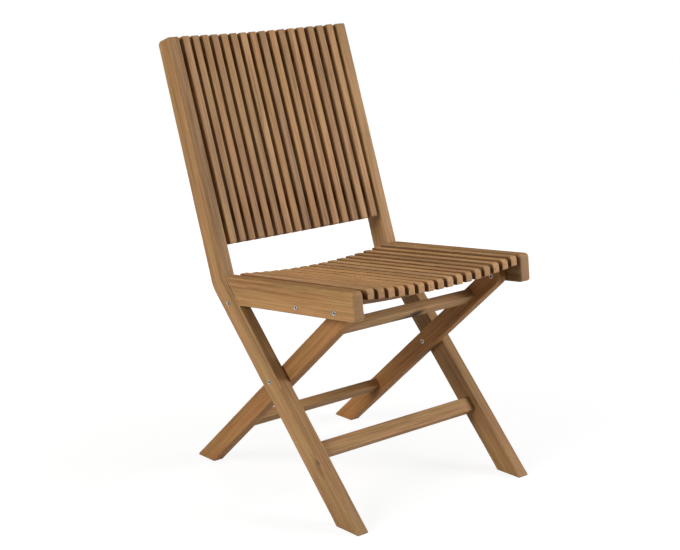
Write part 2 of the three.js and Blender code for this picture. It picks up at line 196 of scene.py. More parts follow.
def capFaces(outline, outlineIds, holes, seeds=(), seedIds=()):
    # triangles of a flat face with holes, given as (ring, numbers), and seed points that steer them
    rings = [outline] + [ring for ring, _ in holes]
    points = np.concatenate([*rings, seeds])
    ids = np.concatenate([outlineIds, *[ringIds for _, ringIds in holes], seedIds]).astype(int)
    edges, start = [], 0
    for ring in rings:
        index = start + np.arange(len(ring))
        edges += np.stack([index, np.roll(index, -1)], 1).tolist()
        start += len(ring)
    flat = [Vector((p.real, p.imag)) for p in points]
    _, _, triangles, origin, _, _ = delaunay_2d_cdt(flat, edges, [], 0, loopValues["merge"])
    triangles = np.array([source[0] for source in origin])[np.array(triangles)]
    middle = points[triangles].mean(1)
    keep = isInside(middle, outline)
    for ring in rings[1:]:
        keep &= ~isInside(middle, ring)
    triangles = triangles[keep]
    corner = points[triangles]
    flip = ((corner[:, 1] - corner[:, 0]).conjugate() * (corner[:, 2] - corner[:, 0])).imag < 0
    triangles[flip] = triangles[flip][:, ::-1]
    return ids[triangles]


def putMesh(name, points, blocks, smooth, attributes):
    # points in millimetres; faces as blocks of corners; one value or vector a point in each attribute
    mesh = bpy.data.meshes.new(name)
    mesh.from_pydata((points * mm).tolist(), [], [row for block in blocks for row in block.tolist()])
    shades = np.concatenate([np.full(len(block), flag) for block, flag in zip(blocks, smooth)])
    mesh.polygons.foreach_set("use_smooth", shades)
    for key, values in attributes.items():
        values = np.asarray(values, np.float32)
        kind, field = ("FLOAT", "value") if values.ndim == 1 else ("FLOAT_VECTOR", "vector")
        mesh.attributes.new(key, kind, "POINT").data.foreach_set(field, values.ravel())
    mesh.update()
    piece = bpy.data.objects.new(name, mesh)
    bpy.context.scene.collection.objects.link(piece)
    return piece


def finished(piece, node, slotName, material):
    piece.data.materials.append(material)
    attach(piece, bodyOf[node])
    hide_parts(node)
    return piece


# Boards, each with a tone and a place beside the tree's pith of its own
toneValues = {
    "spread": {"frame": 0.05, "slat": 0.10, "batten": 0.04},
    "warmth": {"frame": 0.03, "slat": 0.05, "batten": 0.02},
    "seedShift": 1000, "most": 1.6, "redShare": 0.4, "blueShare": 1.2,
}
boardValues = {
    "uneven": 0.16, "waveLength": 34.0, "waveRates": (1.0, 2.3, 5.1), "waveSizes": (1.0, 0.7, 0.5),
    "easeLimitShare": 0.82, "rim": 0.7, "rimLimitShare": 0.95, "paintedGapShadeShare": 0.45, "sawnFade": 1.6,
    "pithAlong": 4000.0, "pithAcross": (26.0, 70.0), "pithThrough": (18.0, 60.0),
}
boxFaces = np.array([[0, 2, 3, 1], [4, 5, 7, 6], [0, 1, 5, 4], [2, 6, 7, 3], [0, 4, 6, 2], [1, 3, 7, 5]])


def toneOf(kind, seed):
    # a board's own tint: brighter or darker as a whole, and redder or paler
    v = toneValues
    draw = np.random.default_rng(v["seedShift"] + seed).normal(0, 1, 2).clip(-v["most"], v["most"])
    level, warm = 1 + v["spread"][kind] * draw[0], v["warmth"][kind] * draw[1]
    return np.array([level * (1 + v["redShare"] * warm), level, level * (1 - v["blueShare"] * warm)])


def pithOf(seed):
    # where the board was cut from the tree: far along it, and beside the pith on one side or the other
    draw = np.random.default_rng(seed).uniform(0, 1, 4)
    acrossFrom, acrossSpread = boardValues["pithAcross"]
    throughFrom, throughSpread = boardValues["pithThrough"]
    through = (throughFrom + throughSpread * draw[2]) * (1 if draw[3] > 0.5 else -1)
    return np.array([boardValues["pithAlong"] * draw[0], acrossFrom + acrossSpread * draw[1], through])


def wave(phase, seed):
    # a smooth uneven wave from -1 to 1: three sines of falling size, whose starts come from the seed
    starts = np.random.default_rng(seed).uniform(0, 2 * np.pi, 3)
    rates, sizes = boardValues["waveRates"], boardValues["waveSizes"]
    sines = [size * np.sin(rate * phase + start) for size, rate, start in zip(sizes, rates, starts)]
    return sum(sines) / sum(sizes)


def boardRows(loop, low, high, ease, easeSteps, middleRows, seed):
    # Rows from the low face to the high one along a quarter round whose radius wanders round the outline:
    # inset = radius * (1 - sin t) and depth = radius * (1 - cos t)
    v = boardValues
    length = np.concatenate([[0], np.cumsum(abs(np.diff(loop)))])
    limit = insetLimit(loop)
    radius = ease * (1 + v["uneven"] * wave(length / v["waveLength"], seed))
    radius = np.minimum(radius, v["easeLimitShare"] * limit)
    t = np.linspace(0, np.pi / 2, easeSteps + 1)[:, None]
    inset, depth = radius * (1 - np.sin(t)), radius * (1 - np.cos(t))
    # the middle of the rounding, which gets rubbed wear and a painted highlight
    bulge = np.sin(2 * t) * np.ones(len(loop))
    rim, flat = np.minimum(radius + v["rim"], v["rimLimitShare"] * limit), np.zeros(len(loop))
    share = np.linspace(0, 1, middleRows + 2)[1:-1, None]
    middle = (low + radius) * (1 - share) + (high - radius) * share
    straight = np.zeros((middleRows, len(loop)))
    levels = np.concatenate([[low + flat], low + depth, middle, high - depth[::-1], [high + flat]])
    insets = np.concatenate([[rim], inset, straight, inset[::-1], [rim]])
    rounds = np.concatenate([[flat], bulge, straight, bulge[::-1], [flat]])
    # painted shade for the gaps between slats: full on the flat faces, fading out across the rounding
    paintedGapShades = np.clip(1 - np.minimum(levels - low, high - levels) / (v["paintedGapShadeShare"] * ease), 0, 1)
    return levels, insets, rounds, paintedGapShades


def addPoints(columns, plane, height, sawn=0.0):
    # appends points that lie on a flat face or in an opening, and gives their numbers
    start, count = len(columns["plane"]), len(plane)
    for key, values in (("plane", plane), ("height", height), ("edge", 0.0), ("paintedGapShade", 1.0), ("sawn", sawn)):
        columns[key] = np.concatenate([columns[key], np.broadcast_to(values, count)])
    return start + np.arange(count)


def makeBoard(name, node, loop, faces, place, grain, look, ease, easeSteps=5, openings=(), seeds=(), boxes=(),
              middleRows=1, paintedGapShadeFade=((0.0, 1.0), (0.0, 0.0))):
    # A board: its outline is carried from the low face to the high one by boardRows, flat faces with holes
    # close it, and boxes make its tenons. look is the kind of tone, the seed, the material and the slot.
    # the last argument: places across the board, and the share there of painted gap shade on its faces
    low, high = faces
    kind, seed, material, slotName = look
    levels, insets, rounds, paintedGapShades = boardRows(loop, low, high, ease, easeSteps, middleRows, seed)
    flats = loop - outwards(loop) * insets
    ids = np.arange(flats.size).reshape(flats.shape)
    columns = {"plane": flats.ravel(), "height": levels.ravel(), "edge": rounds.ravel(),
               "paintedGapShade": paintedGapShades.ravel(), "sawn": np.zeros(flats.size)}
    blocks, smooth, holes = [wallsOf(ids)], [True], {"low": [], "high": []}
    for opening in openings:
        ends, depth = opening["ends"], opening.get("depth", 0.0)
        span = {"both": (low, high), "low": (low, low + depth), "high": (high - depth, high)}[ends]
        rings = np.array([addPoints(columns, opening["loop"], level) for level in span])
        blocks.append(wallsOf(rings)[:, ::-1])
        for face, ring in zip(("low", "high"), rings):
            if ends in ("both", face):
                holes[face].append((opening["loop"], ring))
        if ends == "low":
            blocks.append(rings[1][None, ::-1])
        if ends == "high":
            blocks.append(rings[0][None])
    for face, level, row, order in (("low", low, 0, -1), ("high", high, -1, 1)):
        cap = capFaces(flats[row], ids[row], holes[face], seeds, addPoints(columns, seeds, level))
        blocks.append(cap[:, ::order])
    for box in boxes:
        z, y, x = (values.ravel() for values in np.meshgrid(*reversed(list(zip(*box))), indexing="ij"))
        blocks.append(addPoints(columns, x + 1j * y, z, sawn=1.0)[boxFaces])
    smooth += [False] * (len(blocks) - 1)
    axes = place(np.array([0, 1, 1j, 0]), np.array([0.0, 0.0, 0.0, 1.0]))
    if np.linalg.det(axes[1:] - axes[0]) < 0:
        blocks = [block[:, ::-1] for block in blocks]
    plane, height = columns["plane"], columns["height"]
    along, sawn = grain(plane, height)
    piece = putMesh(name, place(plane, height), blocks, smooth, {
        "grain": along * mm, "pith": np.tile(pithOf(seed) * mm, (len(plane), 1)),
        "tone": np.tile(toneOf(kind, seed), (len(plane), 1)), "edge": columns["edge"],
        "sawn": np.maximum(sawn, columns["sawn"]),
        "paintedGapShade": columns["paintedGapShade"] * np.interp(along[:, 1], *paintedGapShadeFade)})
    return finished(piece, node, slotName, material)


def plainGrain(along):
    # a grain function gives the places along, across and through the board, and how far each is on a sawn end
    return lambda plane, height: (along(plane, height), np.zeros(len(plane)))


def straightGrain(origin, turn):
    def along(plane, height):
        q = (plane - origin) / turn
        return np.stack([q.real, q.imag, height], 1)
    return plainGrain(along)


def endCuts(grain, cuts):
    # marks the points that lie on the board's sawn ends, given as (point, outward direction) pairs
    def marked(plane, height):
        along, sawn = grain(plane, height)
        for point, direction in cuts:
            ahead = ((plane - point) * np.conjugate(direction)).real
            sawn = np.maximum(sawn, np.clip(1 + ahead / boardValues["sawnFade"], 0, 1))
        return along, sawn
    return marked


def boltHoles(points):
    return [{"loop": circle(point, jointValues["holeRadius"]), "ends": "both"} for point in points]


def mortise(centre, turn, tenon, sign):
    # a pocket in a board's inner face, a gap clear of its tenon all round and at its end
    gap = chair["gap"]
    return {"loop": rectangle(centre, turn, tenon[0] + 2 * gap, tenon[1] + 2 * gap),
            "ends": "low" if sign > 0 else "high", "depth": jointValues["tenonLength"] + gap}


def tenonSpans(face):
    # from where to where the two tenons reach along a bar between two faces
    root = face - jointValues["shoulderGap"] - jointValues["tenonRoot"]
    tip = face + jointValues["tenonLength"]
    return (-tip, -root), (root, tip)


# Shading
def newTree(name):
    material = bpy.data.materials.new(name)
    material.use_nodes = True
    tree = material.node_tree
    tree.nodes.clear()
    return material, tree


def nodeIn(tree, kind, inputs=None, **settings):
    made = tree.nodes.new("ShaderNode" + kind)
    for key, value in settings.items():
        setattr(made, key, value)
    for key, value in (inputs or {}).items():
        if isinstance(value, bpy.types.NodeSocket):
            tree.links.new(value, made.inputs[key])
        else:
            made.inputs[key].default_value = value
    return made


def asSurface(tree, shader):
    tree.links.new(shader.outputs[0], nodeIn(tree, "OutputMaterial").inputs[0])


def attribute(tree, name, output="Fac"):
    return nodeIn(tree, "Attribute", attribute_name=name).outputs[output]


def maths(tree, operation, a, b=0.0, clamp=False):
    return nodeIn(tree, "Math", {0: a, 1: b}, operation=operation, use_clamp=clamp).outputs[0]


def times(tree, a, b):
    return maths(tree, "MULTIPLY", a, b)


def plus(tree, a, b, clamp=False):
    return maths(tree, "ADD", a, b, clamp)


def scaled(tree, vector, factors):
    return nodeIn(tree, "VectorMath", {0: vector, 1: factors}, operation="MULTIPLY").outputs[0]


def moved(tree, vector, shift):
    return nodeIn(tree, "VectorMath", {0: vector, 1: shift}, operation="ADD").outputs[0]


def lengthOf(tree, vector):
    return nodeIn(tree, "VectorMath", {0: vector}, operation="LENGTH").outputs["Value"]


def noiseOf(tree, vector, scale, detail=2.0, roughness=0.5, distortion=0.0):
    return nodeIn(tree, "TexNoise", {"Vector": scaled(tree, vector, scale), "Scale": 1.0, "Detail": detail,
                                     "Roughness": roughness, "Distortion": distortion}).outputs["Fac"]


def mapped(tree, value, fromRange, toRange, smooth=True):
    return nodeIn(tree, "MapRange", dict(enumerate((value, *fromRange, *toRange))),
                  interpolation_type="SMOOTHSTEP" if smooth else "LINEAR").outputs[0]


def mixed(tree, factor, first, second, kind="MIX"):
    return nodeIn(tree, "Mix", {0: factor, 6: first, 7: second}, data_type="RGBA", blend_type=kind).outputs[2]


teakValues = {
    "frame": {"pale": (0.374, 0.213, 0.090, 1), "deep": (0.186, 0.094, 0.036, 1),
              # this line's first colour is painted shade for the sides of slats in the gaps between them
              "paintedGapShade": (0.072, 0.027, 0.006, 1), "warm": (1.03, 0.975, 0.98, 1),
              "cool": (0.985, 1.015, 0.97, 1), "ring": 0.24, "streak": 0.58, "fine": 1.0, "broad": 0.55,
              "endShare": 0.65, "roughness": 0.58, "bump": 0.35},
}
teakValues["rear"] = dict(teakValues["frame"], pale=(0.338, 0.164, 0.055, 1), deep=(0.183, 0.080, 0.024, 1))
teakValues["slats"] = dict(teakValues["frame"], pale=(0.392, 0.220, 0.095, 1), broad=0.46, endShare=0.22)
# painted light: the seat's slats get a paler copy of the slat teak, brightening the seat's top as light would
teakValues["seat"] = dict(teakValues["slats"], pale=(0.490, 0.282, 0.130, 1), deep=(0.235, 0.121, 0.051, 1),
                          broad=0.22)
# painted shade: the seat battens get a darker copy of the frame teak for their place under the slats
teakValues["seatBattens"] = dict(teakValues["frame"], pale=(0.24, 0.125, 0.055, 1),
                                 deep=(0.13, 0.062, 0.025, 1))
teakValues["backBattens"] = dict(teakValues["frame"], pale=(0.33, 0.182, 0.080, 1),
                                 deep=(0.17, 0.085, 0.034, 1))

# Noises in the wood: repeats a metre along, across and through the board, detail, roughness and distortion
woodNoises = {
    "drift": ((1.7, 8.0, 8.0), 1.5, 0.5, 0.0),
    "broad": ((3.0, 26.0, 26.0), 2.0, 0.5, 0.4),
    "hue": ((5.5, 44.0, 44.0), 2.0, 0.55, 0.0),
    "streak": ((7.0, 280.0, 280.0), 3.0, 0.62, 0.25),
    "stroke": ((17.0, 330.0, 330.0), 2.0, 0.5, 0.0),
    "fine": ((20.0, 1000.0, 1000.0), 3.0, 0.65, 0.0),
    "pore": ((110.0, 2600.0, 2600.0), 1.0, 0.5, 0.0),
}
# How the noises are used: the part of a noise that counts, and how much of it goes into the shade
woodUse = {
    "ringWidth": 0.0042, "ringDrift": 0.016, "ringRise": (0.2, 0.88), "ringFall": (0.9, 1.0),
    "ringPlaces": (0.35, 0.62), "ringLeast": 0.3, "streakPart": (0.34, 0.70), "broadMiddle": 0.5,
    "fineMiddle": 0.42, "porePart": (0.60, 0.72), "poreShade": 0.14, "huePart": (0.36, 0.64),
    "strokePart": (0.58, 0.72), "strokeShare": 0.35, "strokeColour": (0.225, 0.092, 0.038, 1),
    # the edge colour is paler: partly rubbed wear, partly a painted highlight
    "edgeShare": 0.12, "edgeColour": (0.40, 0.250, 0.130, 1), "endRing": 0.7,
    "endPale": (0.275, 0.165, 0.092, 1), "endDeep": (0.15, 0.082, 0.042, 1),
    "spotNoise": (120, 420, 420), "spotDetail": 3.0, "spotRagged": 1.1, "spotFade": (0.75, 1.75),
    "spotColour": (0.018, 0.009, 0.004, 1),
    "glossPart": (0.3, 0.7), "glossBelow": 0.06, "glossAbove": 0.09, "endRoughness": 0.16,
    "fineRelief": 0.7, "poreRelief": -0.7, "ringRelief": 0.25, "reliefHeight": 0.00035,
    "index": 1.46, "specular": 0.27,
}
# Dark spots in a board's own coordinates, as (place, half size, strength): knots, a gouge, dark streaks,
# dark joint lines, a darker foot, and painted shade on the near stile's front and the far rail's inner face
woodSpots = {
    "right_long_leg": [((-430, -7, -240), (10, 3.6, 8), 0.8), ((-438, -12, -240), (32, 9, 9), 0.42),
                       ((-541, -24, -240), (7, 3.5, 6), 0.36), ((-529, -33, -240), (5, 3, 6), 0.3),
                       # the second spot on the next line, long and weak along the stile's front face, is
                       # painted shade
                       ((-560, -24, -226), (170, 60, 60), 0.17), ((300, 1, -226), (320, 6, 40), 0.28),
                       ((-28, 0.3, -239), (34, 1.6, 3), 0.8)],
    "left_long_leg": [((-28, 0.3, 239), (34, 1.6, 3), 0.8)],
    "right_seat_rail": [((240, 27, -240), (35, 2, 6), 0.36), ((150, 41.5, -240), (65, 2, 6), 0.3)],
    # painted shade on the far rail's inner face, where the seat shades it
    "left_seat_rail": [((0, 15, 213), (300, 130, 5), 0.34)],
    "upper_cross_rail": [((12, -17, 10), (58, 21, 12), 1.0), ((29, -2, 10), (26, 20, 12), 1.0)],
}


def spotShade(tree, grain, spots):
    # each spot is an ellipsoid that a noise makes ragged and that fades outwards; the darkest counts
    shade = None
    for centre, size, strength in spots:
        away = moved(tree, grain, tuple(-value * mm for value in centre))
        away = lengthOf(tree, scaled(tree, away, tuple(1 / (value * mm) for value in size)))
        ragged = noiseOf(tree, grain, woodUse["spotNoise"], detail=woodUse["spotDetail"])
        away = plus(tree, away, times(tree, ragged, woodUse["spotRagged"]))
        spot = mapped(tree, away, woodUse["spotFade"], (strength, 0.0))
        shade = spot if shade is None else maths(tree, "MAXIMUM", shade, spot)
    return shade


def teakMaterial(name, values, spots=()):
    # Growth rings about a pith that lies beside the board, long streaks, fine lines and short pores, all in
    # the board's own coordinates, with greyer sawn ends, edges slightly paler as rubbed wear and a painted
    # highlight, painted gap shade on slats' sides, and the given dark spots, some of which are painted shade
    material, tree = newTree(name)
    use, full = woodUse, (0.0, 1.0)
    grain, pith, tone = (attribute(tree, key, "Vector") for key in ("grain", "pith", "tone"))
    edge, sawn, paintedGapShade = (attribute(tree, key) for key in ("edge", "sawn", "paintedGapShade"))
    place = moved(tree, grain, pith)
    noise = {key: noiseOf(tree, place, *settings) for key, settings in woodNoises.items()}

    radius = lengthOf(tree, scaled(tree, place, (0.0, 1.0, 1.0)))
    radius = plus(tree, radius, times(tree, noise["drift"], use["ringDrift"]))
    phase = maths(tree, "FRACT", maths(tree, "DIVIDE", radius, use["ringWidth"]))
    ring = times(tree, mapped(tree, phase, use["ringRise"], full),
                 mapped(tree, phase, use["ringFall"], (1.0, 0.0)))
    pores = mapped(tree, noise["pore"], use["porePart"], full)

    ringRange = (values["ring"] * use["ringLeast"], values["ring"])
    shade = times(tree, ring, mapped(tree, noise["broad"], use["ringPlaces"], ringRange))
    streaks = mapped(tree, noise["streak"], use["streakPart"], full)
    shade = plus(tree, shade, times(tree, streaks, values["streak"]))
    broad = plus(tree, noise["broad"], -use["broadMiddle"])
    shade = plus(tree, shade, times(tree, broad, values["broad"] * 2))
    shade = plus(tree, shade, times(tree, plus(tree, noise["fine"], -use["fineMiddle"]), values["fine"]))
    shade = plus(tree, shade, times(tree, pores, use["poreShade"]), clamp=True)

    colour = mixed(tree, shade, values["pale"], values["deep"])
    hueTint = mixed(tree, mapped(tree, noise["hue"], use["huePart"], full), values["warm"], values["cool"])
    colour = mixed(tree, 1.0, colour, hueTint, "MULTIPLY")
    strokes = mapped(tree, noise["stroke"], use["strokePart"], (0.0, use["strokeShare"]))
    colour = mixed(tree, strokes, colour, use["strokeColour"])
    colour = mixed(tree, 1.0, colour, tone, "MULTIPLY")
    # paler along the middle of rounded edges: partly rubbed wear, partly a painted highlight
    colour = mixed(tree, times(tree, edge, use["edgeShare"]), colour, use["edgeColour"])
    endColour = mixed(tree, times(tree, ring, use["endRing"]), use["endPale"], use["endDeep"])
    colour = mixed(tree, times(tree, sawn, values["endShare"]), colour, endColour)
    # painted shade on the slats' sides, standing in for the shade in the gaps between them
    colour = mixed(tree, paintedGapShade, colour, values["paintedGapShade"])
    if spots:
        # dark spots: knots, a gouge, streaks and joint lines, and some painted shade
        colour = mixed(tree, spotShade(tree, grain, spots), colour, use["spotColour"])

    gloss = (values["roughness"] - use["glossBelow"], values["roughness"] + use["glossAbove"])
    roughness = mapped(tree, noise["streak"], use["glossPart"], gloss, smooth=False)
    roughness = plus(tree, roughness, times(tree, sawn, use["endRoughness"]))
    relief = plus(tree, times(tree, noise["fine"], use["fineRelief"]), times(tree, pores, use["poreRelief"]))
    relief = plus(tree, relief, times(tree, ring, use["ringRelief"]))
    bump = nodeIn(tree, "Bump", {
        "Height": relief, "Strength": values["bump"], "Distance": use["reliefHeight"]})
    asSurface(tree, nodeIn(tree, "BsdfPrincipled", {
        "Base Color": colour, "Roughness": roughness, "Normal": bump.outputs[0], "IOR": use["index"],
        "Specular IOR Level": use["specular"]}))
    return material


teak = {key: teakMaterial("teak" + key[0].upper() + key[1:], values) for key, values in teakValues.items()}
spottedTeak = {node: teakMaterial(f"teak_{node}", teakValues["frame"], spots)
               for node, spots in woodSpots.items()}


def frameLook(node, seed, material=teak["frame"]):
    return "frame", seed, spottedTeak.get(node, material), "teak_frame"


steelValues = {
    "turnedSteel": {"colour": (0.60, 0.585, 0.56, 1), "roughness": 0.30, "lines": (0.0, 2600.0, 0.0)},
    "stripSteel": {"colour": (0.52, 0.51, 0.49, 1), "roughness": 0.38, "lines": (18.0, 2200.0, 900.0)},
}
steelUse = {
    "lineRoughness": 0.6, "stainNoise": (170.0, 170.0, 170.0), "stainPart": (0.42, 0.75), "stainShare": 0.45,
    "stainColour": (0.34, 0.31, 0.27, 1), "socketShadeColour": (0.02, 0.02, 0.02, 1), "socketRoughness": 0.3,
    "glossPart": (0.3, 0.7), "glossBelow": 0.06, "glossAbove": 0.14, "bump": 0.25, "lineDepth": 0.00012,
}


def steelMaterial(name, values):
    # Steel with fine tool lines that run round a turned piece or along a strip, dull in the sockets and
    # painted dark there as shade
    material, tree = newTree(name)
    use = steelUse
    lay, recess = attribute(tree, "lay", "Vector"), attribute(tree, "recess")
    lines = noiseOf(tree, lay, values["lines"], roughness=use["lineRoughness"])
    stain = mapped(tree, noiseOf(tree, lay, use["stainNoise"]), use["stainPart"], (0.0, use["stainShare"]))
    colour = mixed(tree, stain, values["colour"], use["stainColour"])
    # painted shade: near black in the sockets
    colour = mixed(tree, recess, colour, use["socketShadeColour"])
    gloss = (values["roughness"] - use["glossBelow"], values["roughness"] + use["glossAbove"])
    roughness = mapped(tree, lines, use["glossPart"], gloss, smooth=False)
    roughness = plus(tree, roughness, times(tree, recess, use["socketRoughness"]))
    bump = nodeIn(tree, "Bump", {"Height": lines, "Strength": use["bump"], "Distance": use["lineDepth"]})
    asSurface(tree, nodeIn(tree, "BsdfPrincipled", {
        "Base Color": colour, "Metallic": 1.0, "Roughness": roughness, "Normal": bump.outputs[0]}))
    return material


steel = {name: steelMaterial(name, values) for name, values in steelValues.items()}
print("materials made")

# Slats, and the hollow of the rows that they lie in
slatValues = {"count": 16, "width": 16.5, "endRadius": 2.8, "ease": 1.2, "easeSteps": 4}
slatPitch = (2 * chair["innerFace"] + slatValues["width"]) / (slatValues["count"] + 1)
slatPlaces = slatPitch * (np.arange(slatValues["count"])[::-1] - (slatValues["count"] - 1) / 2)


def hollow(dish, across):
    # how far the row falls below its ends: a parabola that is nothing at the outermost slats
    return dish * (1 - (across / slatPlaces[0]) ** 2)


# flank shares: how much painted gap shade a slat's sides get, at their inner edge and at their outer one
backValues = {"slatStart": 67.0, "slatEnd": 506.0, "slatDepth": 20.0, "dish": 11.0, "seed": 200,
              "paintedGapShadeShares": (0.7, 0.35)}
seatValues = {"frontReach": 57.0, "above": 44.1, "below": 13.4, "slatHeight": 20.4, "slatRearReach": 335.0,
              "noseRadius": 8.0, "dish": 12.0, "seed": 100, "paintedGapShadeShares": (1.0, 0.68)}
seatLift = seatValues["above"] - seatValues["slatHeight"]


def makeSlats(kind, start, end, low, high, noseRadius, origin, turn, values, material):
    # the slats' outline, in the side view along their own line, is set lower towards the middle of the row
    end, start, radius = end + 0j, start + 0j, slatValues["endRadius"]
    corners = [(start + 1j * low, radius), (end + 1j * low, radius), (end + 1j * high, radius),
               (start + 1j * high, noseRadius)]
    for number, across in enumerate(slatPlaces, start=1):
        node = f"{kind}_{number:02d}"
        base = origin - 1j * hollow(values["dish"], across) * turn
        grain = endCuts(straightGrain(base, turn), [(base + start * turn, -turn), (base + end * turn, turn)])
        look = ("slat", values["seed"] + number, material, "teak_slats")
        faces = (across - slatValues["width"] / 2, across + slatValues["width"] / 2)
        makeBoard(f"{node}_bar", node, base + loopOf(corners) * turn, faces, inSideView, grain, look,
                  slatValues["ease"], slatValues["easeSteps"], paintedGapShadeFade=((low, high), values["paintedGapShadeShares"]))


# Curved battens that carry the slats
battenValues = {
    "housingDepth": 4.0, "dishLoss": 2.0, "ease": 0.6, "easeSteps": 3, "steps": 33,
    "backRises": (110.0, 430.0), "backWidth": 35.0, "backThickness": 19.0, "backTenon": (25.0, 9.0),
    "backSeed": 53, "seatWidth": 22.0, "frontThickness": 28.0, "frontClearance": 2.0, "rearThickness": 15.0,
    "rearReach": 246.0, "seatTenonWidth": 12.0, "seatTenonCheeks": 10.0, "seatSeed": 51,
}


def seatBattens():
    # reach, thickness and tenon of both; the front one clears the upper edges of the rear legs
    v = battenValues
    drop = np.angle(-seatTurn / rearLegTurn)
    underside = (seatLift + v["housingDepth"] - v["frontThickness"]
                 - hollow(seatValues["dish"] - v["dishLoss"], chair["rearLegInnerFace"]))
    reach = (chair["rearLegWidth"] / 2 + v["frontClearance"] - underside * np.cos(drop)) / np.sin(drop)
    sizes = {"front_seat_batten": (reach, v["frontThickness"]),
             "rear_seat_batten": (v["rearReach"], v["rearThickness"])}
    return {node: (reach, thickness, (v["seatTenonWidth"], thickness - v["seatTenonCheeks"]))
            for node, (reach, thickness) in sizes.items()}


def makeBatten(node, origin, turn, reach, width, thickness, tenon, faceHeight, dish, seed, material):
    # A curved bar with a housing for each slat. Its outline is drawn across the chair, with the hollow's
    # parabola above and below, and is carried along the slats
    v = battenValues
    end = chair["innerFace"] - jointValues["shoulderGap"]

    def place(plane, height):
        return inSideView(origin + (height + 1j * plane.imag) * turn, plane.real)

    grain = plainGrain(lambda plane, height: np.stack([plane.real, plane.imag, height], 1))
    half = slatValues["width"] / 2 + chair["gap"]
    corners = np.stack([slatPlaces + half, slatPlaces + half, slatPlaces - half, slatPlaces - half], 1)
    landHeight = faceHeight + v["housingDepth"]
    tops = landHeight - hollow(dish, corners)
    tops[:, 1:3] = (faceHeight - hollow(dish, slatPlaces) - chair["gap"])[:, None]
    across = np.linspace(-end, end, v["steps"])
    under = across + 1j * (landHeight - thickness - hollow(dish - v["dishLoss"], across))
    landEnd = 1j * (landHeight - hollow(dish, end))
    loop = np.concatenate([under, [end + landEnd], (corners + 1j * tops).ravel(), [-end + landEnd]])
    middle, centre = landHeight - thickness / 2, reach + width / 2
    tenons = [((start, middle - tenon[1] / 2, centre - tenon[0] / 2),
               (stop, middle + tenon[1] / 2, centre + tenon[0] / 2))
              for start, stop in tenonSpans(chair["innerFace"])]
    makeBoard(f"{node}_bar", node, loop, (reach, reach + width), place, grain,
              ("batten", seed, material, "teak_battens"), v["ease"], v["easeSteps"], boxes=tenons)


# Long legs, each bent behind the seat into a stile of the back
legValues = {
    "stileLength": 506.0, "stileTopWidth": 40.5, "bendRadius": 60.0, "stileFrontRadius": 3.2,
    "stileRearRadius": 9.8, "footRadius": 2.5, "ease": 2.7, "frontRailDrop": 168.5, "seed": 11,
    "fanRadius": 24.0, "fanCount": 7, "fanDistances": (6.0, 18.0, 30.0, 40.0),
}
frontRailPlace = scissorBolt + (-legValues["frontRailDrop"] + 1j * chair["legSetback"]) * legTurn
bendAngle = np.angle(stileTurn / legTurn)
stileTop = bendFront + legValues["stileLength"] * stileTurn


def legLoop():
    rearOffset = frontOffset - chair["legWidth"]
    halfTurn = toward(np.degrees(bendAngle) / 2)
    bendRear = bendFront - 1j * halfTurn * legTurn * chair["legWidth"] / halfTurn.real
    rearLine, frontLine = scissorBolt + 1j * rearOffset * legTurn, scissorBolt + 1j * frontOffset * legTurn
    return loopOf([
        (onFloor(rearLine, legTurn), legValues["footRadius"]),
        (bendRear, legValues["bendRadius"]),
        (stileTop - 1j * legValues["stileTopWidth"] * stileTurn, legValues["stileRearRadius"]),
        (stileTop, legValues["stileFrontRadius"]),
        (bendFront, 0),
        (onFloor(frontLine, legTurn), legValues["footRadius"]),
    ])


def alongLeg(plane, height):
    # the grain follows the bend: straight along the leg and the stile, and turning in a fan between
    q = plane - bendFront
    lower, upper, fan = q / legTurn, q / stileTurn, legValues["fanRadius"]
    angle = np.clip(np.angle(q / (-1j * legTurn)), 0, bendAngle)
    beyond = np.where(upper.real > 0, upper.real + fan * bendAngle, fan * angle)
    along = np.where(lower.real < 0, lower.real, beyond)
    across = np.where(lower.real < 0, lower.imag, np.where(upper.real > 0, upper.imag, -abs(q)))
    return np.stack([along, across, height], 1)


fanTurns = -1j * legTurn * np.exp(1j * np.linspace(0, 1, legValues["fanCount"]) * bendAngle)
fanSeeds = (bendFront + fanTurns[:, None] * np.array(legValues["fanDistances"])).ravel()
backBattenMiddle = battenValues["housingDepth"] - backValues["slatDepth"] - battenValues["backThickness"] / 2
backPlaces = [bendFront + (rise + battenValues["backWidth"] / 2 + 1j * backBattenMiddle) * stileTurn
              for rise in battenValues["backRises"]]
footCut = (0j, -1j)
legGrain = endCuts(plainGrain(alongLeg), [footCut, (stileTop, stileTurn)])
for index, (side, sign) in enumerate(sides.items()):
    node = f"{side}_long_leg"
    openings = boltHoles((scissorBolt, linkBolt)) + [mortise(frontRailPlace, legTurn, railTenon, sign)]
    openings += [mortise(place, stileTurn, battenValues["backTenon"], sign) for place in backPlaces]
    faces = facesOf(sign, chair["innerFace"], chair["outerFace"])
    makeBoard(f"{node}_board", node, legLoop(), faces, inSideView, legGrain,
              frameLook(node, legValues["seed"] + index), legValues["ease"], openings=openings,
              seeds=fanSeeds)
print("long legs made")

# Rear legs, with round tops
rearValues = {"footRadius": 2.5, "ease": 2.5, "arcSteps": 10, "topShort": 0.01, "seed": 21,
              "upperRailDrop": 84.0, "lowerRailDrop": 206.0, "railOffset": 3.2}
rearRailPlaces = {
    node: scissorBolt + (distance - 1j * rearValues["railOffset"]) * rearLegTurn for node, distance in (
        ("upper_cross_rail", chair["rearLegReach"] - rearValues["upperRailDrop"]),
        ("lower_cross_rail", -rearValues["lowerRailDrop"]))}


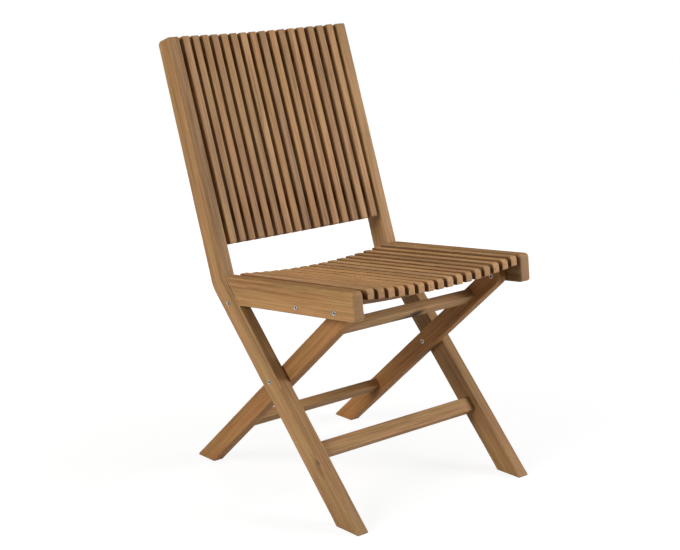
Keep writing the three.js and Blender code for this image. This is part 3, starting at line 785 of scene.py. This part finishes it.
def rearLegLoop():
    half = chair["rearLegWidth"] / 2
    feet = [onFloor(scissorBolt + 1j * offset * rearLegTurn, rearLegTurn) for offset in (half, -half)]
    tops = [seatBolt + (half + 1j * offset) * rearLegTurn for offset in (-half, half)]
    # just short of a half circle, so that both arcs keep their ends
    topRadius = half - rearValues["topShort"]
    return loopOf([(foot, rearValues["footRadius"]) for foot in feet] + [(top, topRadius) for top in tops],
                  arcSteps=rearValues["arcSteps"])


rearGrain = endCuts(straightGrain(scissorBolt, rearLegTurn), [footCut])
for index, (side, sign) in enumerate(sides.items()):
    node = f"{side}_rear_leg"
    openings = boltHoles((scissorBolt, seatBolt))
    openings += [mortise(place, rearLegTurn, railTenon, sign) for place in rearRailPlaces.values()]
    faces = facesOf(sign, chair["rearLegInnerFace"], chair["rearLegOuterFace"])
    makeBoard(f"{node}_board", node, rearLegLoop(), faces, inSideView, rearGrain,
              frameLook(node, rearValues["seed"] + index, teak["rear"]), rearValues["ease"],
              openings=openings)
print("rear legs made")

# Seat rails, whose sloped rear shoulders rest on the front edges of the long legs
railValues = {"topRadius": 9.0, "bottomRadius": 6.0, "shoulderTopRadius": 4.0, "shoulderBottomRadius": 3.0,
              "ease": 3.0, "frontWear": {"left": 0.0, "right": 1.5}, "frontWearReach": 13.0, "seed": 31}


def inSeat(x, y):
    return seatBolt + (x + 1j * y) * seatTurn


shoulder = scissorBolt + 1j * (frontOffset + chair["gap"]) * legTurn
railTop = inSeat(-seatValues["frontReach"], seatValues["above"])
railBottom = inSeat(-seatValues["frontReach"], -seatValues["below"])
railLoop = loopOf([
    (railBottom, railValues["bottomRadius"]),
    (meeting(railBottom, seatTurn, shoulder, legTurn), railValues["shoulderBottomRadius"]),
    (meeting(railTop, seatTurn, shoulder, legTurn), railValues["shoulderTopRadius"]),
    (railTop, railValues["topRadius"]),
])
railGrain = endCuts(straightGrain(seatBolt, seatTurn), [(railTop, -seatTurn), (shoulder, -1j * legTurn)])
# hands have rounded the right rail's front end: there the edges' radius grows towards the end as a bell curve
frontBell = np.exp(-(((railLoop - railTop) / seatTurn).real / railValues["frontWearReach"]) ** 2)
for index, (side, sign) in enumerate(sides.items()):
    node = f"{side}_seat_rail"
    openings = boltHoles((seatBolt, linkStud))
    for reach, thickness, tenon in seatBattens().values():
        centre = inSeat(reach + battenValues["seatWidth"] / 2,
                        seatLift + battenValues["housingDepth"] - thickness / 2)
        openings.append(mortise(centre, seatTurn, tenon, sign))
    ease = railValues["ease"] * (1 + railValues["frontWear"][side] * frontBell)
    faces = facesOf(sign, chair["innerFace"], chair["outerFace"])
    makeBoard(f"{node}_board", node, railLoop, faces, inSideView, railGrain,
              frameLook(node, railValues["seed"] + index), ease, openings=openings)
print("seat rails made")

# Straight cross rails, whose grain runs across the chair
crossValues = {"width": 32.0, "height": 20.0, "radius": 3.0, "spacing": 8.0, "arcSteps": 5, "ease": 0.6,
               "easeSteps": 3, "middleRows": 9, "seed": 41}


def makeCrossRail(node, face, point, turn, seed):
    # the rail's section is carried across the chair, with a tenon at each end
    v = crossValues
    end = face - jointValues["shoulderGap"]

    def place(plane, height):
        return inSideView(point + plane * turn, height)

    grain = plainGrain(lambda plane, height: np.stack([height, plane.real, plane.imag], 1))
    corners = rectangle(0, 1, v["width"], v["height"])
    section = loopOf([(corner, v["radius"]) for corner in corners], v["spacing"], v["arcSteps"])
    halfWidth, halfHeight = railTenon[0] / 2, railTenon[1] / 2
    tenons = [((-halfWidth, -halfHeight, start), (halfWidth, halfHeight, stop))
              for start, stop in tenonSpans(face)]
    makeBoard(f"{node}_bar", node, section, (-end, end), place, grain, frameLook(node, seed), v["ease"],
              v["easeSteps"], boxes=tenons, middleRows=v["middleRows"])


makeCrossRail("front_cross_rail", chair["innerFace"], frontRailPlace, legTurn, crossValues["seed"])
for index, (node, point) in enumerate(rearRailPlaces.items(), start=1):
    makeCrossRail(node, chair["rearLegInnerFace"], point, rearLegTurn, crossValues["seed"] + index)
print("cross rails made")

makeSlats("seat_slat", -seatValues["frontReach"], seatValues["slatRearReach"], seatLift, seatValues["above"],
          seatValues["noseRadius"], seatBolt, seatTurn, seatValues, teak["seat"])
makeSlats("back_slat", backValues["slatStart"], backValues["slatEnd"], -backValues["slatDepth"], 0.0,
          slatValues["endRadius"], bendFront, stileTurn, backValues, teak["slats"])
print("slats made")

for index, (node, (reach, thickness, tenon)) in enumerate(seatBattens().items()):
    makeBatten(node, seatBolt, seatTurn, reach, battenValues["seatWidth"], thickness, tenon, seatLift,
               seatValues["dish"], battenValues["seatSeed"] + index, teak["seatBattens"])
for index, (level, reach) in enumerate(zip(("lower", "upper"), battenValues["backRises"])):
    makeBatten(f"{level}_back_batten", bendFront, stileTurn, reach, battenValues["backWidth"],
               battenValues["backThickness"], battenValues["backTenon"], -backValues["slatDepth"],
               backValues["dish"], battenValues["backSeed"] + index, teak["backBattens"])
print("battens made")

# Steel pieces
boltValues = {
    "shank": 3.0, "head": 5.0, "headHeight": 1.2, "round": 0.5, "roundSteps": 6, "underEase": 0.2,
    "socketAcross": 4.6, "socketDepth": 3.0, "lipOuter": 0.75, "lipInner": 0.5, "lipFall": 0.12,
    "lipDepth": 0.5, "lipShade": 0.55, "drillDepth": 0.4, "drillRadius": 0.3, "tipEase": 0.5,
    "segments": 48, "linesRound": 2,
}
washerValues = {"rim": 9.0, "ease": 0.35}


def quarterRound(steps):
    # pairs of 1 - sin t and 1 - cos t, from the side of a rounded rim to its top
    t = np.linspace(0, np.pi / 2, steps)
    return zip(1 - np.sin(t), 1 - np.cos(t))


def turnedPiece(node, rows, point):
    # Rows of (place across the chair, radius, how hexagonal, recess), carried round the axis. A hexagonal
    # row has the radius apothem / cos(angle from the nearest flat)
    rows = np.array(rows, float)
    count = boltValues["segments"]
    angle = 2 * np.pi * np.arange(count) / count
    toFlat = (angle + np.pi / 6) % (np.pi / 3) - np.pi / 6
    radius = rows[:, 1:2] * (1 + rows[:, 2:3] * (1 / np.cos(toFlat) - 1))
    plane, height = (point + radius * np.exp(1j * angle)).ravel(), np.repeat(rows[:, 0], count)
    ids = np.arange(len(rows) * count).reshape(len(rows), count)
    if (rows[0] == rows[-1]).all():  # a closed section, whose last row is its first
        blocks, smooth = [wallsOf(ids) % ((len(rows) - 1) * count)], [True]
        plane, height = plane[:-count], height[:-count]
    else:
        blocks, smooth = [wallsOf(ids), ids[0][None, ::-1], ids[-1][None]], [True, False, False]
    if rows[-1, 0] < rows[0, 0]:
        blocks = [block[:, ::-1] for block in blocks]
    away = plane - point
    lay = np.stack([np.angle(away) * boltValues["linesRound"], abs(away), height - rows[0, 0]], 1)
    recess = np.repeat(rows[:, 3], count)[:len(plane)]
    piece = putMesh(f"{node}_turned", inSideView(plane, height), blocks, smooth,
                    {"lay": lay * mm, "recess": recess})
    return finished(piece, node, "bolt_steel", steel["turnedSteel"])


def headRows(face, sign):
    # from the under side of a ring head to the bottom of its socket; sign points out of the board
    v = boltValues
    under, apothem = face + sign * chair["gap"], v["socketAcross"] / 2
    top = under + sign * v["headHeight"]
    rounding = [(top - sign * v["round"] * s, v["head"] - v["round"] * c, 0, 0)
                for s, c in quarterRound(v["roundSteps"])]
    return [(under, v["shank"], 0, 0), (under, v["head"] - v["underEase"], 0, 0),
            (under + sign * v["underEase"], v["head"], 0, 0), *rounding,
            (top, apothem + v["lipOuter"], 0, 0), (top - sign * v["lipFall"], apothem + v["lipInner"], 0, 0),
            (top - sign * v["lipDepth"], apothem, 1, v["lipShade"]),
            (top - sign * v["socketDepth"], apothem, 1, 1),
            (top - sign * (v["socketDepth"] + v["drillDepth"]), v["drillRadius"], 0, 1)]


def makeBolt(node, inner, point, sign):
    turnedPiece(node, headRows(sign * inner, -sign)[::-1] + headRows(sign * chair["outerFace"], sign), point)


def makeShortBolt(node, point, sign):
    # its tip stops inside the leg, one gap short of the link
    tip, ease, shank = sign * chair["innerFace"], boltValues["tipEase"], boltValues["shank"]
    tipRows = [(tip, shank - ease, 0, 0), (tip + sign * ease, shank, 0, 0)]
    turnedPiece(node, tipRows + headRows(sign * chair["outerFace"], sign), point)


def makeWasher(node, point, sign):
    inner, outer = chair["rearLegOuterFace"] + chair["gap"], chair["innerFace"] - chair["gap"]
    bore, rim, ease = jointValues["holeRadius"], washerValues["rim"], washerValues["ease"]
    section = [(inner, bore + ease), (inner, rim - ease), (inner + ease, rim), (outer - ease, rim),
               (outer, rim - ease), (outer, bore + ease), (outer - ease, bore), (inner + ease, bore),
               (inner, bore + ease)]
    turnedPiece(node, [(sign * x, radius, 0, 0) for x, radius in section[::sign]], point)


linkValues = {"width": 13.0, "thickness": 2.4, "ease": 0.35, "rim": 0.9, "corner": 0.1, "endSteps": 17,
              "bossRadius": 6.0, "bossHeight": 3.4, "bossEase": 0.8, "bossSteps": 5, "bossSegments": 32,
              "rivetDip": 0.35, "rivetRadius": 0.3}


def makeLink(side, sign):
    # a strap whose outline is two half circles joined by straights, with a riveted boss at its rear end
    v = linkValues
    half, length = v["width"] / 2, abs(linkBolt - linkStud)
    turn = (linkBolt - linkStud) / length
    halfCircle = half * np.exp(1j * np.linspace(-np.pi / 2, np.pi / 2, v["endSteps"]))
    loop = linkStud + turn * np.concatenate([length + halfCircle, -halfCircle])
    middle = sign * (chair["rearLegOuterFace"] + chair["innerFace"]) / 2
    low, high = middle - v["thickness"] / 2, middle + v["thickness"] / 2
    rim, ease, corner = v["rim"], v["ease"], v["corner"]
    insets = np.array([rim, ease, corner, 0, 0, corner, ease, rim])[:, None]
    levels = np.array([low, low, low + corner, low + ease, high - ease, high - corner, high, high])[:, None]
    strap = loop - outwards(loop) * insets
    ids = np.arange(strap.size).reshape(strap.shape)
    hole = circle(linkStud, jointValues["holeRadius"])
    holeIds = strap.size + np.arange(2 * len(hole)).reshape(2, -1)
    lowCap = capFaces(strap[0], ids[0], [(hole, holeIds[0])])[:, ::-1]
    highCap = capFaces(strap[-1], ids[-1], [(hole, holeIds[1])])

    top, radius, ease = middle - sign * v["bossHeight"], v["bossRadius"], v["bossEase"]
    rounding = [(top + sign * ease * s, radius - ease * c) for s, c in quarterRound(v["bossSteps"])]
    bossRows = np.array([(middle, radius), *rounding, (top + sign * v["rivetDip"], v["rivetRadius"])])
    around = np.exp(2j * np.pi * np.arange(v["bossSegments"]) / v["bossSegments"])
    boss = linkBolt + bossRows[:, 1:] * around
    bossIds = strap.size + holeIds.size + np.arange(boss.size).reshape(boss.shape)
    bossBlocks = [wallsOf(bossIds), bossIds[0][None, ::-1], bossIds[-1][None]]
    if sign > 0:
        bossBlocks = [block[:, ::-1] for block in bossBlocks]

    plane = np.concatenate([strap.ravel(), hole, hole, boss.ravel()])
    height = np.concatenate([np.repeat(levels, len(loop)), np.repeat([low, high], len(hole)),
                             np.repeat(bossRows[:, 0], v["bossSegments"])])
    q = (plane - linkStud) / turn
    lay = np.stack([q.real, q.imag, height - middle], 1)
    blocks = [wallsOf(ids), wallsOf(holeIds)[:, ::-1], lowCap, highCap, *bossBlocks]
    smooth = [True, False, False, False, True, False, False]
    piece = putMesh(f"{side}_link_strap", inSideView(plane, height), blocks, smooth,
                    {"lay": lay * mm, "recess": np.zeros(len(plane))})
    finished(piece, f"{side}_link", "link_steel", steel["stripSteel"])


for side, sign in sides.items():
    makeBolt(f"{side}_scissor_bolt", chair["rearLegInnerFace"], scissorBolt, sign)
    makeBolt(f"{side}_seat_bolt", chair["rearLegInnerFace"], seatBolt, sign)
    makeBolt(f"{side}_link_stud", chair["rearLegOuterFace"], linkStud, sign)
    makeShortBolt(f"{side}_link_bolt", linkBolt, sign)
    makeWasher(f"{side}_scissor_washer", scissorBolt, sign)
    makeWasher(f"{side}_seat_washer", seatBolt, sign)
    makeLink(side, sign)
print("steel pieces made")

# Studio, in metres: camera, pale stage and lamps
cameraValues = {"azimuth": -41.097, "elevation": 14.369, "roll": -0.065, "distance": 3.2667, "lens": 82.447,
                "sensor": 36.0, "target": (0.0, 0.01648, 0.41342)}


def makeCamera():
    v = cameraValues
    azimuth, elevation, roll = (math.radians(v[key]) for key in ("azimuth", "elevation", "roll"))
    level = np.array([math.cos(azimuth), math.sin(azimuth), 0.0])
    back = np.array([math.sin(azimuth) * math.cos(elevation), -math.cos(azimuth) * math.cos(elevation),
                     math.sin(elevation)])
    upright = np.cross(back, level)
    place = np.eye(4)
    place[:3, 0] = level * math.cos(roll) + upright * math.sin(roll)
    place[:3, 1] = -level * math.sin(roll) + upright * math.cos(roll)
    place[:3, 2] = back
    place[:3, 3] = np.array(v["target"]) + back * v["distance"]
    camera = bpy.data.objects.new("camera", bpy.data.cameras.new("camera"))
    camera.matrix_world = Matrix(place.tolist())
    camera.data.lens, camera.data.sensor_width = v["lens"], v["sensor"]
    bpy.context.scene.collection.objects.link(camera)
    bpy.context.scene.camera = camera


stageValues = {"half": 3.2, "tone": 0.72, "roughness": 0.9, "veilHeight": 0.0004, "veilSpan": (0.45, 1.7),
               "veilShare": 0.78, "veilGlow": 1.1, "shellGlow": 1.0, "shellRadius": 20.0, "shellReach": 1.57,
               "shellSteps": (32, 16)}


def stagePiece(name, points, faces):
    mesh = bpy.data.meshes.new(name)
    mesh.from_pydata(points.tolist(), [], faces.tolist())
    piece = bpy.data.objects.new(name, mesh)
    bpy.context.scene.collection.objects.link(piece)
    material, tree = newTree(name)
    mesh.materials.append(material)
    return piece, tree


def glow(tree, strength):
    return nodeIn(tree, "Emission", {"Color": (1, 1, 1, 1), "Strength": strength})


def makeStage():
    # A pale floor, with a thin glowing veil over it that thickens outwards into a white shell: the veil is
    # painted light that fades the chair's shadow on the floor. Only the camera sees the veil and the shell,
    # so they light nothing
    v = stageValues
    sheet = np.array([[-1, -1, 0], [1, -1, 0], [1, 1, 0], [-1, 1, 0]]) * v["half"]
    quad = np.array([[0, 1, 2, 3]])
    _, tree = stagePiece("floor", sheet, quad)
    asSurface(tree, nodeIn(tree, "BsdfPrincipled", {
        "Base Color": (v["tone"], v["tone"], v["tone"], 1), "Roughness": v["roughness"],
        "Specular IOR Level": 0.0}))
    veil, tree = stagePiece("veil", sheet + np.array([0, 0, v["veilHeight"]]), quad)
    distance = lengthOf(tree, nodeIn(tree, "TexCoord").outputs["Object"])
    share = mapped(tree, distance, v["veilSpan"], (v["veilShare"], 1.0))
    clear = nodeIn(tree, "BsdfTransparent").outputs[0]
    asSurface(tree, nodeIn(tree, "MixShader", {0: share, 1: clear, 2: glow(tree, v["veilGlow"]).outputs[0]}))
    aroundSteps, upSteps = v["shellSteps"]
    around, up = np.meshgrid(np.linspace(0, 2 * np.pi, aroundSteps + 1)[:-1],
                             np.linspace(-v["shellReach"], v["shellReach"], upSteps))
    points = np.stack([np.cos(around) * np.cos(up), np.sin(around) * np.cos(up), np.sin(up)], -1)
    ids = np.arange(upSteps * aroundSteps).reshape(upSteps, aroundSteps)
    shell, tree = stagePiece("shell", points.reshape(-1, 3) * v["shellRadius"], wallsOf(ids)[:, ::-1])
    asSurface(tree, glow(tree, v["shellGlow"]))
    for screen in (veil, shell):
        screen.visible_diffuse = screen.visible_glossy = screen.visible_shadow = False


worldGlow, lampAim = 0.02, 0.45
lampValues = {  # the rear lamp only fills the shade behind the back, and gives no sheen
    "left": {"place": (-4.3, 0.1, 2.45), "size": 2.8, "power": 208.0, "colour": (1.0, 0.98, 0.94),
             "sheen": True},
    "right": {"place": (3.3, -3.1, 1.75), "size": 2.8, "power": 236.0, "colour": (1.0, 1.0, 1.0),
              "sheen": True},
    "top": {"place": (0.0, -0.3, 4.6), "size": 3.0, "power": 50.0, "colour": (1.0, 1.0, 1.0),
            "sheen": True},
    "rear": {"place": (1.3, 4.1, 0.6), "size": 1.1, "power": 95.0, "colour": (1.0, 0.98, 0.94),
             "sheen": False},
}


def makeLamp(name, values):
    light = bpy.data.lights.new(name, "AREA")
    light.shape, light.size = "DISK", values["size"]
    light.energy, light.color = values["power"], values["colour"]
    lamp = bpy.data.objects.new(name, light)
    lamp.location = values["place"]
    lamp.visible_glossy = values["sheen"]
    lamp.rotation_mode = "QUATERNION"
    lamp.rotation_quaternion = (Vector(values["place"]) - Vector((0, 0, lampAim))).to_track_quat("Z", "Y")
    bpy.context.scene.collection.objects.link(lamp)


makeCamera()
makeStage()
world = bpy.data.worlds.new("studio")
world.use_nodes = True
world.node_tree.nodes["Background"].inputs[0].default_value = (1.0, 1.0, 1.0, 1)
world.node_tree.nodes["Background"].inputs[1].default_value = worldGlow
bpy.context.scene.world = world
for name, values in lampValues.items():
    makeLamp(name, values)
bpy.context.scene.view_settings.view_transform = "Standard"
print("studio made")
